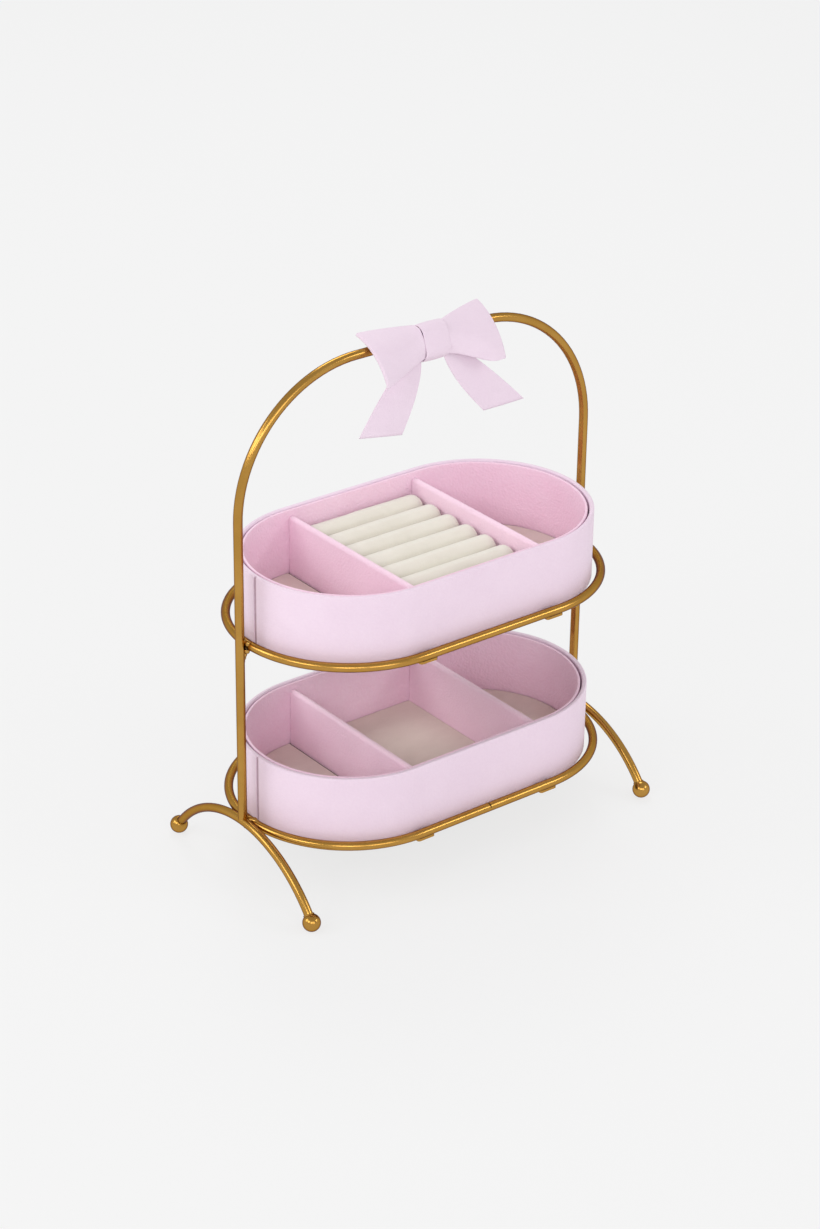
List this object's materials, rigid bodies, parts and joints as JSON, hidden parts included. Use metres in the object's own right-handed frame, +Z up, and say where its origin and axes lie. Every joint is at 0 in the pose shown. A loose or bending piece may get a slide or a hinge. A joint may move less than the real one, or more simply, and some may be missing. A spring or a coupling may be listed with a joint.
{
  "type": "two-tier jewelry organizer",
  "caption": "Free-standing gold wire stand with two lift-out stadium trays, one above the other, with divided bays, ring rolls and a ribbon bow on the arch.",
  "frame": {"origin": "on the ground under the middle of the footprint", "axes": "+Z up, +X along the trays, +Y to the back, so the bow faces -Y"},
  "size_m": [0.244, 0.1372, 0.2981],
  "materials": {
    "gold_wire": "satin antique gold lacquer on steel wire",
    "tray_leatherette": "pale lilac leatherette with a fine pebble grain",
    "liner_leatherette": "rose-lilac leatherette, matte",
    "divider_leatherette": "lilac-pink leatherette, matte",
    "tray_board": "grey fibreboard",
    "floor_suede": "taupe microsuede",
    "roll_velvet": "cream velvet",
    "bow_ribbon": "pale lilac leatherette ribbon, smooth and matte"
  },
  "bodies": {
    "stand": {"left_front_foot": "gold_wire", "left_back_foot": "gold_wire", "right_front_foot": "gold_wire", "right_back_foot": "gold_wire", "left_leg": "gold_wire", "right_leg": "gold_wire", "arch_hoop": "gold_wire", "upper_ring": "gold_wire", "lower_ring": "gold_wire", "upper_left_strip": "gold_wire", "upper_right_strip": "gold_wire", "lower_left_strip": "gold_wire", "lower_right_strip": "gold_wire", "upper_left_weld": "gold_wire", "upper_right_weld": "gold_wire", "lower_left_weld": "gold_wire", "lower_right_weld": "gold_wire", "bow_knot": "bow_ribbon", "bow_left_loop": "bow_ribbon", "bow_right_loop": "bow_ribbon", "bow_left_tail": "bow_ribbon", "bow_right_tail": "bow_ribbon"},
    "upper_tray": {"upper_tray_wall": "tray_leatherette", "upper_tray_liner": "liner_leatherette", "upper_tray_base": "tray_board", "upper_tray_left_lining": "floor_suede", "upper_tray_right_lining": "floor_suede", "upper_tray_left_divider": "divider_leatherette", "upper_tray_right_divider": "divider_leatherette", "ring_roll_card": "tray_board", "ring_roll_1": "roll_velvet", "ring_roll_2": "roll_velvet", "ring_roll_3": "roll_velvet", "ring_roll_4": "roll_velvet", "ring_roll_5": "roll_velvet", "ring_roll_6": "roll_velvet", "ring_roll_7": "roll_velvet"},
    "lower_tray": {"lower_tray_wall": "tray_leatherette", "lower_tray_liner": "liner_leatherette", "lower_tray_base": "tray_board", "lower_tray_left_lining": "floor_suede", "lower_tray_centre_lining": "floor_suede", "lower_tray_right_lining": "floor_suede", "lower_tray_left_divider": "divider_leatherette", "lower_tray_right_divider": "divider_leatherette"}
  },
  "joints": [
    {"name": "upper_tray_lift", "type": "slide", "parent": "stand", "child": "upper_tray", "axis": [0, 0, 1], "range_m": [0, 0.06]},
    {"name": "lower_tray_lift", "type": "slide", "parent": "stand", "child": "lower_tray", "axis": [0, 0, 1], "range_m": [0, 0.062]}
  ]
}
